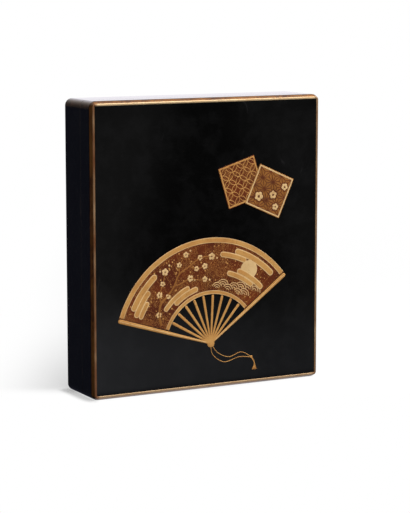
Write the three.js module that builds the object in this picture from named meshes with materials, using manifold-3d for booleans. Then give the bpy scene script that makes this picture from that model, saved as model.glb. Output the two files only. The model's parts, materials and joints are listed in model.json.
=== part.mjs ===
// A Japanese lacquer writing box: a flush lift-off lid, the box body with its inner lip, and the loose
// fittings inside, which are the inkstone board, the inkstone, the water dropper and two long trays.
// Millimetres. The box is built lying on its base, with x across, y along and z up through the lid,
// and is then stood on its short end, so that the lid's face looks along -Y and the long side is upright.
import * as THREE from "three";
import { mergeVertices } from "three/addons/utils/BufferGeometryUtils.js";
import Module from "manifold-3d";

const wasm = await Module();
wasm.setup();

// Outside of the closed box
const boxLength = 245; // long side, upright when the box stands on its end
const boxWidth = 215;
const boxDepth = 50.5; // from the underside of the base to the lid's face
const cornerRadius = 6; // four outer corners, seen from the lid
const cornerSteps = 8;

// Lid
const lidDepth = 20; // from the lid's face to its rim
const lidBoardThickness = 4.5;
const lidWallThickness = 5;
const bevelWidth = 2.7; // gilt bevel round the lid's face, at 45 degrees
const goldLineWidth = 1.2;
const goldLineRise = 0.2;

// Box body
const baseThickness = 5;
const bodyWallThickness = 5;
const lipThickness = 2.2;
const lipRise = 7; // height of the lip above the body's rim

// Clearances
const seamGap = 0.3; // between the closed lid's rim and the body's rim
const glueLine = 0.3; // between boards that are glued to each other
const seatGap = 0.3; // under a loose piece, and round one set in a cut-out
const fittingGap = 0.5; // between loose pieces side by side
const cutOverrun = 1; // how far a cut runs on past the face it opens

// Trays
const trayWidth = 38;
const trayDepth = 22;
const trayFloorThickness = 2.5;
const trayWallThickness = 2.5;

// Inkstone board, with the inkstone and the water dropper set in it
const inkBoardThickness = 9;
const inkBoardNearMargin = 17.5; // from the board's near end to the inkstone
const inkBoardFarMargin = 19.5; // from the water dropper to the board's far end
const stoneToDropper = 20;

// Inkstone
const stoneWidth = 80;
const stoneThickness = 17;
const stoneCornerRadius = 4;
const stoneRim = 6;
const grindDepthNear = 2; // depth of the grinding face below the rim at its near end
const grindDepthFar = 4; // and where it turns down into the pool
const poolDepth = 10;
const poolLength = 30;
const poolSlope = 12; // length of the steep turn from the grinding face down to the pool
const grindEase = 0.5; // how far the grinding face has eased down before that turn steepens

// Water dropper
const dropperWidth = 46;
const dropperLength = 34;
const dropperHeight = 14;
const dropperCornerRadius = 3;
const dropperWall = 1.2;
const dropperHoleRadius = 1.3;
const dropperHoleSpacing = 22;

// Raised lacquer: an open fan and two overlapping square cards
const reliefRise = 0.5;
const fanX = 2; // place of the fan's pivot on the lid's face, from its centre
const fanY = -84;
const fanTurn = THREE.MathUtils.degToRad(10); // lean of the fan's middle to the left
const fanSpread = THREE.MathUtils.degToRad(126);
const fanOuterRadius = 90;
const fanInnerRadius = 42;
const fanRibCount = 11;
const fanRibWidth = 2.4;
const fanRibFootWidth = 1.6;
const fanGuardWidth = 3.6; // the two outer sticks, which run on beside the sheet
const fanRivetRadius = 3.4;
const fanRivetSteps = 24;
const fanArcSteps = 32;
const reliefGap = 0.3; // sunk line between two pieces of raised lacquer
const cardSide = 36;
const cardX = 58; // place of the front card's centre on the lid's face
const cardY = 42;
const cardTurn = THREE.MathUtils.degToRad(-24);
const cardShiftX = -27; // from the front card's centre to the back card's
const cardShiftY = 9;
const cardBackTurn = THREE.MathUtils.degToRad(17);
const cardFrontRise = 0.7;

// Heights that follow, measured up from the underside of the base
const lidRim = boxDepth - lidDepth;
const bodyRim = lidRim - seamGap;
const lipTop = bodyRim + lipRise;
const lidBoardUnder = boxDepth - lidBoardThickness;
const floorSeat = baseThickness + seatGap;

// Room inside the lip
const lipOutset = bodyWallThickness + glueLine;
const innerWidth = boxWidth - 2 * (lipOutset + lipThickness);
const innerLength = boxLength - 2 * (lipOutset + lipThickness);

// Loose fittings that fill that room side by side
const fittingLength = innerLength - 2 * fittingGap;
const inkBoardWidth = innerWidth - 2 * trayWidth - 4 * fittingGap;
const trayX = (inkBoardWidth + trayWidth) / 2 + fittingGap;
const dropperY = fittingLength / 2 - inkBoardFarMargin - dropperLength / 2;

// The inkstone takes the length that is left on its board
const stoneNear = -fittingLength / 2 + inkBoardNearMargin;
const stoneFar = dropperY - dropperLength / 2 - stoneToDropper;
const stoneLength = stoneFar - stoneNear;
const stoneY = (stoneNear + stoneFar) / 2;

// Finishes
const finishes = {
  blackLacquer: finish(0x0c0c0e, 0.16, 0),
  fleckedLacquer: finish(0x6b3d18, 0.3, 0.25),
  goldLacquer: finish(0xc8924a, 0.42, 0.5),
  redBrownLacquer: finish(0x6d3524, 0.4, 0.3),
  slate: finish(0x2b2c30, 0.75, 0),
  agedCopper: finish(0x8a5a36, 0.4, 0.9),
};

function finish(color, roughness, metalness) {
  return new THREE.MeshStandardMaterial({ color, roughness, metalness });
}

function piece(name, geometry, material) {
  const mesh = new THREE.Mesh(geometry, material);
  mesh.name = name;
  return mesh;
}

// Closed geometry to a solid that can be cut or joined
function solidOf(geometry) {
  const bare = geometry.clone();
  bare.deleteAttribute("normal");
  bare.deleteAttribute("uv");
  const merged = mergeVertices(bare, 1e-4);
  return new wasm.Manifold(
    new wasm.Mesh({
      numProp: 3,
      vertProperties: new Float32Array(merged.attributes.position.array),
      triVerts: new Uint32Array(merged.index.array),
    }),
  );
}

// The solid back to a geometry
function geometryOf(solid) {
  const cut = solid.getMesh();
  const geometry = new THREE.BufferGeometry();
  geometry.setAttribute("position", new THREE.BufferAttribute(cut.vertProperties, 3));
  geometry.setIndex(new THREE.BufferAttribute(cut.triVerts, 1));
  geometry.computeVertexNormals();
  return geometry;
}

function rectangle(width, length) {
  const shape = new THREE.Shape();
  shape.moveTo(-width / 2, -length / 2);
  shape.lineTo(width / 2, -length / 2);
  shape.lineTo(width / 2, length / 2);
  shape.lineTo(-width / 2, length / 2);
  shape.closePath();
  return shape;
}

function roundedRectangle(width, length, radius) {
  const x = width / 2 - radius;
  const y = length / 2 - radius;
  const quarter = Math.PI / 2;
  const shape = new THREE.Shape();
  shape.absarc(x, -y, radius, -quarter, 0);
  shape.absarc(x, y, radius, 0, quarter);
  shape.absarc(-x, y, radius, quarter, 2 * quarter);
  shape.absarc(-x, -y, radius, 2 * quarter, 3 * quarter);
  shape.closePath();
  return shape;
}

// A flat-ended solid of the outline, from height bottom up to height top
function slab(outline, bottom, top, curveSegments = cornerSteps) {
  const options = { depth: top - bottom, bevelEnabled: false, curveSegments };
  return new THREE.ExtrudeGeometry(outline, options).translate(0, 0, bottom);
}

// The four boards round a box, mitred at its corners. Each is a trapezium whose long edge lies outside.
function mitredBoards(width, length, thickness) {
  const kerf = glueLine / Math.SQRT2;
  const sides = {
    left: { across: -1, along: 0, run: length, reach: width / 2 },
    right: { across: 1, along: 0, run: length, reach: width / 2 },
    top: { across: 0, along: 1, run: width, reach: length / 2 },
    bottom: { across: 0, along: -1, run: width, reach: length / 2 },
  };
  return Object.entries(sides).map(([side, { across, along, run, reach }]) => {
    const half = run / 2 - kerf;
    const corners = [
      [-half, reach],
      [-half + thickness, reach - thickness],
      [half - thickness, reach - thickness],
      [half, reach],
    ];
    const placed = corners.map(([u, v]) => new THREE.Vector2(
      u * along + v * across, -u * across + v * along));
    return { side, outline: new THREE.Shape(placed) };
  });
}

// Side boards of the lid or the body: mitred boards whose outer corners are rounded
function roundedWalls(prefix, thickness, bottom, top) {
  const outside = solidOf(slab(roundedRectangle(boxWidth, boxLength, cornerRadius), bottom, top));
  return mitredBoards(boxWidth, boxLength, thickness).map(({ side, outline }) => {
    const board = solidOf(slab(outline, bottom, top)).intersect(outside);
    return piece(prefix + side, geometryOf(board), finishes.blackLacquer);
  });
}

// Top board of the lid, bevelled round its face
function lidBoard() {
  const outline = roundedRectangle(boxWidth, boxLength, cornerRadius);
  const options = {
    depth: lidBoardThickness,
    bevelThickness: bevelWidth,
    bevelSize: bevelWidth,
    bevelOffset: -bevelWidth,
    bevelSegments: 1,
    curveSegments: cornerSteps,
  };
  const bevelled = new THREE.ExtrudeGeometry(outline, options);
  bevelled.translate(0, 0, lidBoardUnder - bevelWidth);
  const room = slab(rectangle(2 * boxWidth, 2 * boxLength), lidBoardUnder, 2 * boxDepth);
  const board = solidOf(bevelled).intersect(solidOf(room));
  return piece("lid_board", geometryOf(board), finishes.blackLacquer);
}

// Fine gold line on the lid's face, just inside the bevel
function lidGoldLine() {
  const inset = bevelWidth + goldLineWidth;
  const outer = roundedRectangle(
    boxWidth - 2 * bevelWidth, boxLength - 2 * bevelWidth, cornerRadius - bevelWidth);
  outer.holes.push(roundedRectangle(boxWidth - 2 * inset, boxLength - 2 * inset, cornerRadius - inset));
  return piece("lid_gold_line", slab(outer, boxDepth, boxDepth + goldLineRise), finishes.goldLacquer);
}

// Pleated sheet of the fan: a sector of a ring round the pivot, whose straight edges follow the guard sticks
function fanLeaf() {
  const middle = Math.PI / 2;
  const halfAngle = (radius) => fanSpread / 2 - Math.asin((fanGuardWidth / 2 + reliefGap) / radius);
  const outer = halfAngle(fanOuterRadius);
  const inner = halfAngle(fanInnerRadius);
  const outline = new THREE.Shape();
  outline.absarc(0, 0, fanOuterRadius, middle - outer, middle + outer, false);
  outline.absarc(0, 0, fanInnerRadius, middle + inner, middle - inner, true);
  outline.closePath();
  return piece("fan_leaf", slab(outline, 0, reliefRise, fanArcSteps), finishes.redBrownLacquer);
}

// Sticks of the fan, joined at the rivet: bare ribs up to the sheet, and a guard stick at each side of it
function fanRibs() {
  const rivet = new THREE.CylinderGeometry(fanRivetRadius, fanRivetRadius, reliefRise, fanRivetSteps);
  rivet.rotateX(Math.PI / 2).translate(0, 0, reliefRise / 2);
  let joined = solidOf(rivet);
  for (let i = 0; i < fanRibCount; i++) {
    const isGuard = i === 0 || i === fanRibCount - 1;
    const reach = isGuard ? fanOuterRadius : fanInnerRadius - reliefGap;
    const halfWidth = (isGuard ? fanGuardWidth : fanRibWidth) / 2;
    const stick = new THREE.Shape([
      new THREE.Vector2(-fanRibFootWidth / 2, 0),
      new THREE.Vector2(fanRibFootWidth / 2, 0),
      new THREE.Vector2(halfWidth, fanInnerRadius - reliefGap),
      new THREE.Vector2(halfWidth, reach),
      new THREE.Vector2(-halfWidth, reach),
      new THREE.Vector2(-halfWidth, fanInnerRadius - reliefGap),
    ]);
    const angle = fanSpread * (i / (fanRibCount - 1) - 0.5);
    joined = joined.add(solidOf(slab(stick, 0, reliefRise).rotateZ(angle)));
  }
  return piece("fan_ribs", geometryOf(joined), finishes.goldLacquer);
}

// The fan on the lid's face, turned about its pivot
function fan() {
  const group = new THREE.Group();
  group.position.set(fanX, fanY, boxDepth);
  group.rotation.z = fanTurn;
  group.add(fanLeaf(), fanRibs());
  return group;
}

// Two square cards on the lid's face: the front one lies over a corner of the back one
function cards() {
  const front = slab(rectangle(cardSide, cardSide), 0, cardFrontRise);
  const cutSide = cardSide + 2 * reliefGap;
  const cutter = solidOf(slab(rectangle(cutSide, cutSide), -cardFrontRise, 2 * cardFrontRise));
  const back = slab(rectangle(cardSide, cardSide), 0, reliefRise);
  back.rotateZ(cardBackTurn - cardTurn);
  const shift = new THREE.Vector2(cardShiftX, cardShiftY).rotateAround(new THREE.Vector2(), -cardTurn);
  back.translate(shift.x, shift.y, 0);
  const group = new THREE.Group();
  group.position.set(cardX, cardY, boxDepth);
  group.rotation.z = cardTurn;
  group.add(
    piece("card_front", front, finishes.goldLacquer),
    piece("card_back", geometryOf(solidOf(back).subtract(cutter)), finishes.redBrownLacquer),
  );
  return group;
}

function lid() {
  const group = new THREE.Group();
  group.add(lidBoard(), ...roundedWalls("lid_wall_", lidWallThickness, lidRim, lidBoardUnder - glueLine));
  group.add(lidGoldLine(), fan(), cards());
  return group;
}

// Thin strips inside the body's walls, standing above its rim so that the lid slips over them
function lips() {
  const width = boxWidth - 2 * lipOutset;
  const length = boxLength - 2 * lipOutset;
  return mitredBoards(width, length, lipThickness).map(({ side, outline }) =>
    piece("lip_" + side, slab(outline, baseThickness + glueLine, lipTop), finishes.fleckedLacquer));
}

function body() {
  const group = new THREE.Group();
  const outline = roundedRectangle(boxWidth, boxLength, cornerRadius);
  group.add(piece("base_board", slab(outline, 0, baseThickness), finishes.blackLacquer));
  group.add(...roundedWalls("body_wall_", bodyWallThickness, baseThickness + glueLine, bodyRim));
  group.add(...lips());
  return group;
}

// A loose tray: a floor and four mitred walls standing on it
function tray(prefix, x) {
  const group = new THREE.Group();
  group.position.set(x, 0, floorSeat);
  const floor = slab(rectangle(trayWidth, fittingLength), 0, trayFloorThickness);
  group.add(piece(prefix + "floor", floor, finishes.fleckedLacquer));
  for (const { side, outline } of mitredBoards(trayWidth, fittingLength, trayWallThickness)) {
    const wall = slab(outline, trayFloorThickness + glueLine, trayDepth);
    group.add(piece(prefix + "wall_" + side, wall, finishes.blackLacquer));
  }
  return group;
}

// The loose board between the trays, cut through for the inkstone and the water dropper
function inkstoneBoard() {
  const outline = rectangle(inkBoardWidth, fittingLength);
  const board = solidOf(slab(outline, floorSeat, floorSeat + inkBoardThickness));
  const stoneHole = seatCutter(stoneWidth, stoneLength, stoneCornerRadius, stoneY);
  const dropperHole = seatCutter(dropperWidth, dropperLength, dropperCornerRadius, dropperY);
  const cutBoard = board.subtract(stoneHole).subtract(dropperHole);
  return piece("inkstone_board", geometryOf(cutBoard), finishes.fleckedLacquer);
}

// Cutter for the hole that a rounded block stands in, a little larger than the block all round
function seatCutter(width, length, radius, y) {
  const outline = roundedRectangle(width + 2 * seatGap, length + 2 * seatGap, radius + seatGap);
  return solidOf(slab(outline, 0, boxDepth).translate(0, y, 0));
}

// The stone, hollowed by a grinding face that slopes down and then drops into the ink pool at the far end.
// The hollow is that side profile, carried across, within a rounded outline inside the rim.
function inkstone() {
  const blank = slab(roundedRectangle(stoneWidth, stoneLength, stoneCornerRadius), 0, stoneThickness);
  const near = -stoneLength / 2 + stoneRim;
  const far = stoneLength / 2 - stoneRim;
  const turn = far - poolLength - poolSlope;
  const profile = new THREE.Shape();
  profile.moveTo(near, stoneThickness + cutOverrun);
  profile.lineTo(near, stoneThickness - grindDepthNear);
  profile.lineTo(turn, stoneThickness - grindDepthFar);
  profile.bezierCurveTo(
    turn + poolSlope / 2, stoneThickness - grindDepthFar - grindEase,
    turn + poolSlope / 2, stoneThickness - poolDepth,
    turn + poolSlope, stoneThickness - poolDepth,
  );
  profile.lineTo(far, stoneThickness - poolDepth);
  profile.lineTo(far, stoneThickness + cutOverrun);
  profile.closePath();
  const carried = new THREE.ExtrudeGeometry(profile, {
    depth: stoneWidth, bevelEnabled: false, curveSegments: cornerSteps,
  });
  // Profile's first axis to y, second to z, and the carried direction to x
  const turned = new THREE.Matrix4().makeBasis(
    new THREE.Vector3(0, 1, 0), new THREE.Vector3(0, 0, 1), new THREE.Vector3(1, 0, 0));
  carried.applyMatrix4(turned).translate(-stoneWidth / 2, 0, 0);
  const within = slab(
    roundedRectangle(stoneWidth - 2 * stoneRim, stoneLength - 2 * stoneRim, stoneCornerRadius),
    0, stoneThickness + cutOverrun);
  const hollow = solidOf(carried).intersect(solidOf(within));
  const stone = piece("inkstone", geometryOf(solidOf(blank).subtract(hollow)), finishes.slate);
  stone.position.set(0, stoneY, floorSeat);
  return stone;
}

// The water dropper: a thin metal cup and the cover that closes it, which has an air hole and a spout hole
function dropper() {
  const outline = roundedRectangle(dropperWidth, dropperLength, dropperCornerRadius);
  const inside = roundedRectangle(
    dropperWidth - 2 * dropperWall, dropperLength - 2 * dropperWall, dropperCornerRadius - dropperWall);
  const cupTop = dropperHeight - dropperWall - glueLine;
  const cup = solidOf(slab(outline, 0, cupTop)).subtract(solidOf(slab(inside, dropperWall, dropperHeight)));
  const cover = roundedRectangle(dropperWidth, dropperLength, dropperCornerRadius);
  for (const side of [-1, 1]) {
    const hole = new THREE.Path();
    hole.absarc(side * dropperHoleSpacing / 2, 0, dropperHoleRadius, 0, 2 * Math.PI);
    cover.holes.push(hole);
  }
  const group = new THREE.Group();
  group.position.set(0, dropperY, floorSeat);
  group.add(
    piece("dropper_cup", geometryOf(cup), finishes.agedCopper),
    piece("dropper_cover", slab(cover, dropperHeight - dropperWall, dropperHeight), finishes.agedCopper),
  );
  return group;
}

function fittings() {
  const group = new THREE.Group();
  group.add(inkstoneBoard(), inkstone(), dropper());
  group.add(tray("left_tray_", -trayX), tray("right_tray_", trayX));
  return group;
}

// The box lying on its base, then stood on its near end. The raised lacquer counts in its depth.
const overallDepth = boxDepth + Math.max(reliefRise, cardFrontRise, goldLineRise);
const box = new THREE.Group();
box.add(lid(), body(), fittings());
box.rotation.x = Math.PI / 2;
box.position.set(0, overallDepth / 2, boxLength / 2);

const root = new THREE.Group();
root.add(box);

export default root;
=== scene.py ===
import json
import math

import bmesh
import bpy
import numpy as np
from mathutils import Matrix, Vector

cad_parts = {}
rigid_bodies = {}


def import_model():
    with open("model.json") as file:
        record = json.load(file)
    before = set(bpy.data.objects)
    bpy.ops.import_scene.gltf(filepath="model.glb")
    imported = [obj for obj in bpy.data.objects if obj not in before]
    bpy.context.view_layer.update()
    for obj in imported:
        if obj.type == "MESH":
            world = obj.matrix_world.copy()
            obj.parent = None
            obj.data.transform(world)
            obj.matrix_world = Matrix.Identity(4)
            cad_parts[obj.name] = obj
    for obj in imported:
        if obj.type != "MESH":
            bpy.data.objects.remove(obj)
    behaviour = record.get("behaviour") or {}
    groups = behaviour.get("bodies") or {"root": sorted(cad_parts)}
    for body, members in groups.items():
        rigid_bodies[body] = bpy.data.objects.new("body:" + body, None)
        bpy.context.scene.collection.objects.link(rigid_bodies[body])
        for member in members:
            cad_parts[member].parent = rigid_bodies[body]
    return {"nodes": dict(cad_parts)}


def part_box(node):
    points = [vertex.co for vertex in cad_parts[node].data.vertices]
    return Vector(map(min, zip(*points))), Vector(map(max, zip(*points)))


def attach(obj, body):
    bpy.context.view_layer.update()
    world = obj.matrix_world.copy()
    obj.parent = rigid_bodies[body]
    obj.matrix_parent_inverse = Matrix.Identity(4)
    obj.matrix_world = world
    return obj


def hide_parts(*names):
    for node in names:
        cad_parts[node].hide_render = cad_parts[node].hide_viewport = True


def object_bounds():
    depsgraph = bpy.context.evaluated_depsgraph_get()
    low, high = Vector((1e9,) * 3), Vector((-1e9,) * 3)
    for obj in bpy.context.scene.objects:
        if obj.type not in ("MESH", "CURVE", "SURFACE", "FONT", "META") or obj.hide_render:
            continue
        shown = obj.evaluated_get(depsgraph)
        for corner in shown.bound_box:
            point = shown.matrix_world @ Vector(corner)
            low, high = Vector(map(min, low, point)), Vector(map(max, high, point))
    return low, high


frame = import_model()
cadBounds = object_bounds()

print("frame: loaded", len(frame["nodes"]), "solids")

# Shapes are worked out in millimetres on the box lying on its base: x across, y along, z up through the lid.
# The finished box stands on its near end, so y becomes the height and z points to the front.
perMetre = 1000
baseLow, baseHigh = (np.array(corner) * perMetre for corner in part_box("base_board"))
underside = baseHigh[1]
halfWidth = (baseHigh[0] - baseLow[0]) / 2
halfLength = (baseHigh[2] - baseLow[2]) / 2
cornerRadius = 6


def stand(points):
    # Lying millimetres to standing metres: x stays, y turns up, z turns to the front
    x, y, z = np.asarray(points, float).reshape(-1, 3).T
    return np.stack([x, underside - z, y + halfLength], axis=1) / perMetre


def lying(node):
    # Lowest and highest corner of a solid, in lying millimetres
    low, high = (np.array(corner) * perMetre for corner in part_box(node))
    return (np.array([low[0], low[2] - halfLength, underside - high[1]]),
            np.array([high[0], high[2] - halfLength, underside - low[1]]))


def halves(low, high):
    # Half width, half length and the middle of the length
    return (high[0] - low[0]) / 2, (high[1] - low[1]) / 2, (low[1] + high[1]) / 2


def fourSides(name):
    # The nodes of the four boards of a frame
    return [name + side for side in ("left", "right", "top", "bottom")]


# Finishes
def sign(operation, turned=False):
    # A sign between wires adds a Math node, of the two values turned round where asked
    def joined(wire, other=0):
        first, second = (other, wire) if turned else (wire, other)
        return wire.finish.node("Math", {"operation": operation}, {0: first, 1: second})
    return joined


class Wire:
    # One output of a finish's nodes
    __add__ = __radd__ = sign("ADD")
    __sub__ = sign("SUBTRACT")
    __rsub__ = sign("SUBTRACT", True)
    __mul__ = __rmul__ = sign("MULTIPLY")
    __pow__ = sign("POWER")
    __abs__ = sign("ABSOLUTE")
    orMore = sign("MAXIMUM")

    def __init__(self, finish, socket):
        self.finish = finish
        self.socket = socket

    def out(self, name):
        # Another output of the same node
        return Wire(self.finish, self.socket.node.outputs[name])


class Finish:
    def __init__(self, name, slot=None, holder=None):
        # A new material for the pieces of a slot, or the nodes of the holder that is given
        self.slot = slot
        self.material = holder or bpy.data.materials.new(name)
        self.material.use_nodes = True
        self.tree = self.material.node_tree
        self.tree.nodes.clear()

    def node(self, kind, settings=None, sockets=None, out=0):
        # Adds one node: its settings first, then the values or wires of its inputs
        made = self.tree.nodes.new("ShaderNode" + kind)
        for name, value in (settings or {}).items():
            setattr(made, name, value)
        for name, value in (sockets or {}).items():
            socket = made.inputs[name]
            if isinstance(value, Wire):
                self.tree.links.new(value.socket, socket)
            else:
                socket.default_value = (*value, 1) if socket.type == "RGBA" else value
        return Wire(self, made.outputs[out]) if len(made.outputs) else made

    def place(self):
        # Where a point lies on the standing box, in metres
        return self.node("TexCoord", out="Object")

    def split(self, wire):
        # The three numbers of a place
        x = self.node("SeparateXYZ", None, {"Vector": wire})
        return x, x.out("Y"), x.out("Z")

    def blend(self, share, first, second):
        # The first colour where the share is 0, the second where it is 1
        return self.node("Mix", {"data_type": "RGBA"}, {0: share, 6: first, 7: second}, 2)

    def over(self, ground, *layers):
        # Colours laid over the ground in turn, each by its share
        for share, colour in layers:
            ground = self.blend(share, ground, colour)
        return ground

    def ease(self, value, low, high, start=0.0, end=1.0):
        # Smooth step from start to end while the value goes from low to high
        return self.node("MapRange", {"interpolation_type": "SMOOTHSTEP"},
                         {"Value": value, 1: low, 2: high, 3: start, 4: end})

    def mask(self, ways, steps):
        # Product of smooth steps, each along the way that it names first
        product, *others = [self.ease(ways[way], *numbers) for way, *numbers in steps]
        for step in others:
            product = product * step
        return product

    def clouds(self, size, detail=3, place=None, roughness=0.5):
        # Noise from 0 to 1 in patches about size millimetres across
        return self.node("TexNoise", None, {"Vector": place or self.place(), "Scale": perMetre / size,
                                            "Detail": detail, "Roughness": roughness})

    def grains(self, size):
        # Distance from the nearest grain's middle
        scale = perMetre / size
        return self.node("TexVoronoi", None, {"Vector": self.place(), "Scale": scale}, "Distance")

    def stretched(self, x, y, z):
        # The place times shares, which draws clouds out into streaks
        return self.node("VectorMath", {"operation": "MULTIPLY"}, {0: self.place(), 1: (x, y, z)})

    def wear(self):
        # How worn the surface is, from 0 to 1
        return self.node("Attribute", {"attribute_name": "wear"}, None, "Fac")

    def bump(self, height, millimetres, under=None):
        # Relief: heights from 0 to 1 stand for that many millimetres
        sockets = {"Height": height, "Distance": millimetres / perMetre}
        if under:
            sockets["Normal"] = under
        return self.node("Bump", None, sockets)

    def surface(self, sockets):
        # The one shader of a finish, from the values and wires of its inputs
        self.show(self.node("BsdfPrincipled", None, sockets))
        return self

    def show(self, shader, kind="OutputMaterial"):
        # Joins the shader to the output
        self.node(kind, None, {"Surface": shader})


def tones(**colours):
    # Screen colours, 0 to 255, as linear ones: a share s is s / 12.92 up to 0.04045, and above that
    # ((s + 0.055) / 1.055)^2.4
    seen = {name: np.array(colour) / 255 for name, colour in colours.items()}
    return {name: tuple(np.where(s <= 0.04045, s / 12.92, ((s + 0.055) / 1.055) ** 2.4).tolist())
            for name, s in seen.items()}


def blackLacquer():
    # Two blacks in clouds, then brown on the upper side corners, more of it higher up, dull patches,
    # scratches, a duller brown strip at the upper end's front edge and brown on worn arrises. The masks are
    # in metres.
    look = {
        **tones(black=(6, 6, 6), deep=(4, 4, 4), thin=(88, 58, 46), dull=(30, 30, 31), scratched=(40, 39, 40),
                worn=(74, 42, 24)),
        "polish": 0.07, "shine": 0.42, "wave": 0.03, "grain": 0.0012, "scratchWidth": 0.0022,
        "sideBrown": (("z", 0.2375, 0.2425), ("z", 0.2444, 0.2449, 1, 0), ("sideways", 0.1, 0.1035),
                 ("forwards", 0.022, 0.024, 1, 0)),
        "end": (("z", 0.2444, 0.2449), ("y", -0.021, -0.0185, 1, 0))}
    f = Finish("blackLacquer", "black_lacquer")
    x, y, z = f.split(f.place())
    ways = {"y": y, "z": z, "sideways": abs(x), "forwards": abs(y)}
    haze = f.ease(f.clouds(38, 4), 0.42, 0.72)
    smears = f.ease(f.clouds(9, 5, f.stretched(1, 1, 0.35)), 0.5, 0.8)
    sideBrown = f.mask(ways, look["sideBrown"]) * f.ease(f.clouds(4, 3), 0.3, 0.6, 0.4, 1)
    dull = f.ease(f.clouds(16, 5, None, 0.65), 0.4, 0.66)
    line = f.clouds(60, 2, f.stretched(1, 1, 0.25))
    scratch = f.ease(abs(line - 0.5), 0, look["scratchWidth"], 1, 0) * f.ease(f.clouds(24, 3), 0.55, 0.62)
    end = f.mask(ways, look["end"]) * 0.5
    rub = f.ease(f.wear() * (f.clouds(5, 4) + 0.35), 0.55, 0.95)
    return f.surface({
        "Base Color": f.over(look["black"], (f.clouds(70, 2), look["deep"]), (sideBrown * 0.8, look["thin"]),
                             (dull * 0.18, look["dull"]), (scratch * 0.45, look["scratched"]),
                             (end, look["thin"]), (rub * 0.8, look["worn"])),
        "Roughness": look["polish"] + haze * 0.02 + smears * 0.02 + rub * 0.3 + end,
        "Specular IOR Level": look["shine"],
        "Normal": f.bump(f.clouds(55, 1), look["wave"], f.bump(f.clouds(0.9, 2), look["grain"])),
    })


def giltBevel():
    # Gold rubbed brown in long clouds, with bright flecks, dark patches and a dark arris, under a clear coat
    look = {**tones(gold=(162, 104, 38), rubbed=(94, 48, 8), ground=(42, 20, 9), bright=(188, 119, 42),
                    arris=(34, 18, 12)),
            "metal": 0.9, "rough": 0.26, "clear": 0.9, "clearRough": 0.1}
    f = Finish("giltBevel")
    rubbed = f.ease(f.clouds(14, 4, f.stretched(1, 1, 0.4)), 0.35, 0.68)
    flecks = f.ease(f.clouds(3.4, 4, f.stretched(1, 1, 0.6)), 0.45, 0.7)
    patches = f.ease(f.clouds(2.2, 3), 0.5, 0.75)
    arris = f.ease(f.wear(), 0.05, 0.6)
    grain = f.clouds(0.35, 2)
    return f.surface({
        "Base Color": f.over(look["gold"], (rubbed, look["rubbed"]), (flecks * 0.4, look["bright"]),
                             (patches * 0.55, look["ground"]), (arris * 0.9, look["arris"])),
        "Metallic": look["metal"] - patches * 0.2,
        "Roughness": look["rough"] + grain * 0.1 + patches * 0.1,
        "Coat Weight": look["clear"],
        "Coat Roughness": look["clearRough"],
        "Normal": f.bump(grain, 0.01, f.bump(f.clouds(6, 2), 0.04)),
    })


def goldLacquer(name, look, slot="gold_lacquer"):
    # Two golds in clouds, lighter with powder, browner in drifts and where worn. A look with a brown tone
    # has it as painted shade along both upright sides, and its ground tone as painted shade near the foot.
    f = Finish(name, slot)
    powder = f.grains(0.32)
    layers = [(f.ease(f.clouds(16, 4), 0.3, 0.7), look["deep"]), (f.clouds(0.6, 3) * 0.5, look["light"]),
              (f.ease(f.clouds(11, 3), 0.5, 0.75) * 0.22, look["ground"])]
    if "rubbed" in look:
        # Painted shade: the brown tone along both upright sides and the ground tone near the foot
        x, _, z = f.split(f.place())
        sideBrown = f.ease(x, *look["leftSideShade"]) + f.ease(x, *look["rightSideShade"])
        layers += [(sideBrown * f.ease(f.clouds(30, 2), 0.25, 0.6, 0.65, 1), look["rubbed"]),
                   (f.ease(z, *look["footShade"]), look["ground"])]
    worn = f.ease(f.clouds(1.7, 4) + f.wear() * 0.05, 0.62, 0.72)
    return f.surface({
        "Base Color": f.over(look["gold"], *layers, (worn * look["wear"], look["ground"])),
        "Metallic": look["metal"],
        "Roughness": look["rough"] + powder * 0.16,
        "Specular IOR Level": look["shine"],
        "Normal": f.bump(powder, 0.008, f.bump(f.clouds(3.5, 3), look["relief"])),
    })


def sprinkled(name, slot, look):
    # One gold flake, of its own tilt and tone, in each cell whose random number is less than the crowd there
    f = Finish(name, slot)
    flake = f.grains(look["flake"])
    chance = f.node("SeparateColor", None, {"Color": flake.out("Color")})
    crowd = f.ease(f.clouds(look["cloud"], 3), 0.35, 0.7, look["thin"], look["thick"])
    there = f.ease(flake, *look["flakeEdge"], 1.0, 0.0) * f.ease(chance - crowd, -0.02, 0.02, 1.0, 0.0)
    drift = f.ease(f.clouds(look["drift"], 3), 0.35, 0.65)
    gold = f.blend(chance.out("Green"), look["gold"], look["light"])
    return f.surface({
        "Base Color": f.over(look["ground"], (drift, look["other"]), (there, gold)),
        "Metallic": there * 0.7,
        "Roughness": look["rough"] + there * 0.14 + f.clouds(12, 3) * 0.08,
        "Specular IOR Level": look["shine"],
        "Normal": f.bump(there * chance.out("Blue"), 0.03, f.bump(f.clouds(30, 2), 0.05)),
    })


def inkSlate():
    # Slate in fine layers with pale specks, black and smooth with ink where worn
    look = {**tones(stone=(58, 58, 62), pale=(73, 73, 77), speck=(120, 118, 112), ink=(16, 16, 19)),
            "rough": 0.62, "wet": 0.35}
    f = Finish("inkSlate", "ink_slate")
    layers = f.clouds(6, 5, f.stretched(1, 3, 0.5), 0.6)
    specks = f.ease(f.grains(1.6), 0.04, 0.14, 1.0, 0.0)
    stained = f.ease(f.wear() + f.clouds(8, 4) * 0.4, 0.45, 1.1)
    return f.surface({
        "Base Color": f.over(look["stone"], (f.ease(layers, 0.35, 0.7), look["pale"]),
                             (specks * 0.35, look["speck"]), (stained * 0.9, look["ink"])),
        "Roughness": look["rough"] - stained * look["wet"] + layers * 0.1,
        "Normal": f.bump(f.clouds(0.7, 4), 0.02, f.bump(layers, 0.08)),
    })


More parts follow.
